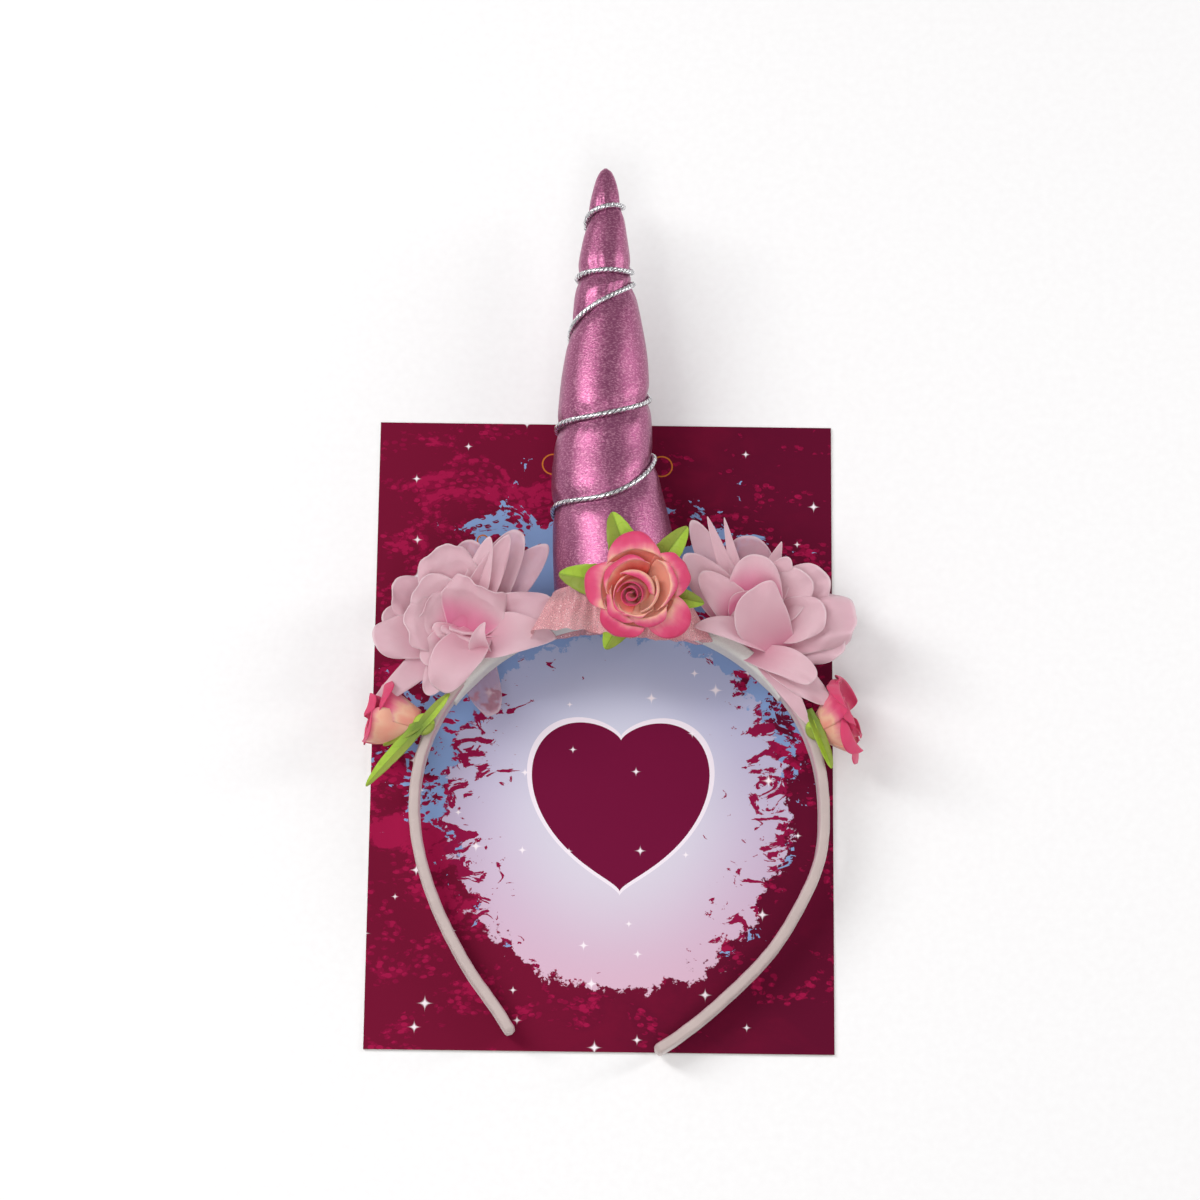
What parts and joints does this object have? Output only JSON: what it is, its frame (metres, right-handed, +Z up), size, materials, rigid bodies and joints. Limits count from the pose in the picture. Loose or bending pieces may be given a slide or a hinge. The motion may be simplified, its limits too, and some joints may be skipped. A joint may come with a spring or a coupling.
{
  "type": "unicorn horn headband on a backing card",
  "caption": "Padded unicorn horn headband with a cord wound horn, a net skirt and cloth flowers, lying on a flat card.",
  "frame": {"origin": "middle of the backing card's back face, which lies on the surface", "axes": "+X to the right across the card, +Y along the card toward the horn's tip, +Z up through the card's front"},
  "size_m": [0.1631, 0.2901, 0.0558],
  "materials": {
    "printed_card": "satin coated dark magenta print",
    "satin": "pinkish white satin",
    "lining_felt": "matte pale felt",
    "horn_lame": "metallic pink lame with fine crinkles",
    "silver_cord": "twisted metallic silver thread",
    "pink_net": "sheer net with glitter dots",
    "leaf_cloth": "matte yellow green cloth",
    "rose_cloth": "matte coral cloth fading to cream",
    "chiffon": "sheer matte pale pink chiffon"
  },
  "bodies": {
    "root": {"backing_card": "printed_card", "band": "satin", "band_lining": "lining_felt", "horn": "horn_lame", "horn_cord": "silver_cord", "tulle_ruffle": "pink_net", "rose_calyx": "leaf_cloth", "rose_outer": "rose_cloth", "rose_middle": "rose_cloth", "rose_core": "rose_cloth", "left_bloom_outer": "chiffon", "left_bloom_middle": "chiffon", "left_bloom_inner": "chiffon", "right_bloom_outer": "chiffon", "right_bloom_middle": "chiffon", "right_bloom_inner": "chiffon", "left_bud_calyx": "leaf_cloth", "left_bud_outer": "rose_cloth", "left_bud_core": "rose_cloth", "right_bud_calyx": "leaf_cloth", "right_bud_outer": "rose_cloth", "right_bud_core": "rose_cloth"}
  },
  "joints": []
}
